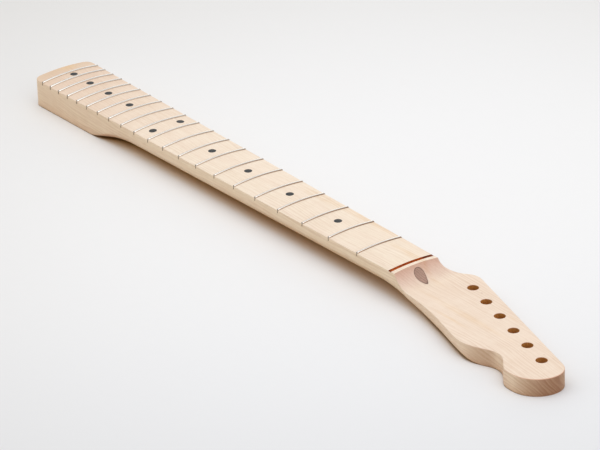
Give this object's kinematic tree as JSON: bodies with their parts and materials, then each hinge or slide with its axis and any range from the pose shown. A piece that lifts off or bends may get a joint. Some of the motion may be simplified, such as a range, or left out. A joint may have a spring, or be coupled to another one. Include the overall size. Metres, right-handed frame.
{
  "type": "electric guitar neck",
  "caption": "Bolt-on maple electric guitar neck with fretted board cut in one piece, dot markers, open nut slot, in-line headstock with empty tuner holes, and adjustable truss rod.",
  "frame": {"origin": "centre of the four neck screw holes on the flat back of the heel", "axes": "+X along the neck to the headstock, +Y to the bass side, +Z out of the fingerboard"},
  "size_m": [0.6584, 0.0775, 0.0263],
  "materials": {
    "maple": "bare fine-sanded wood",
    "walnut": "bare fine-sanded wood",
    "nickel_silver": "polished",
    "black_plastic": "sanded flush",
    "steel": "plain"
  },
  "bodies": {
    "neck": {"neck": "maple", "fret_01": "nickel_silver", "fret_02": "nickel_silver", "fret_03": "nickel_silver", "fret_04": "nickel_silver", "fret_05": "nickel_silver", "fret_06": "nickel_silver", "fret_07": "nickel_silver", "fret_08": "nickel_silver", "fret_09": "nickel_silver", "fret_10": "nickel_silver", "fret_11": "nickel_silver", "fret_12": "nickel_silver", "fret_13": "nickel_silver", "fret_14": "nickel_silver", "fret_15": "nickel_silver", "fret_16": "nickel_silver", "fret_17": "nickel_silver", "fret_18": "nickel_silver", "fret_19": "nickel_silver", "fret_20": "nickel_silver", "fret_21": "nickel_silver", "dot_03": "black_plastic", "dot_05": "black_plastic", "dot_07": "black_plastic", "dot_09": "black_plastic", "dot_15": "black_plastic", "dot_17": "black_plastic", "dot_19": "black_plastic", "dot_21": "black_plastic", "dot_12_treble": "black_plastic", "dot_12_bass": "black_plastic", "side_dot_03": "black_plastic", "side_dot_05": "black_plastic", "side_dot_07": "black_plastic", "side_dot_09": "black_plastic", "side_dot_15": "black_plastic", "side_dot_17": "black_plastic", "side_dot_19": "black_plastic", "side_dot_21": "black_plastic", "side_dot_12_treble": "black_plastic", "side_dot_12_bass": "black_plastic", "back_stripe": "walnut", "headstock_plug": "walnut", "truss_rod": "steel", "truss_rod_anchor": "steel", "truss_rod_washer": "steel"},
    "truss_rod_nut": {"truss_rod_nut": "steel"}
  },
  "joints": [
    {"name": "truss_rod_nut_turn", "type": "hinge", "parent": "neck", "child": "truss_rod_nut", "pos_m": [-0.0368, 0, 0.0127], "axis": [1, 0, 0], "range_deg": [-360, 180]}
  ]
}
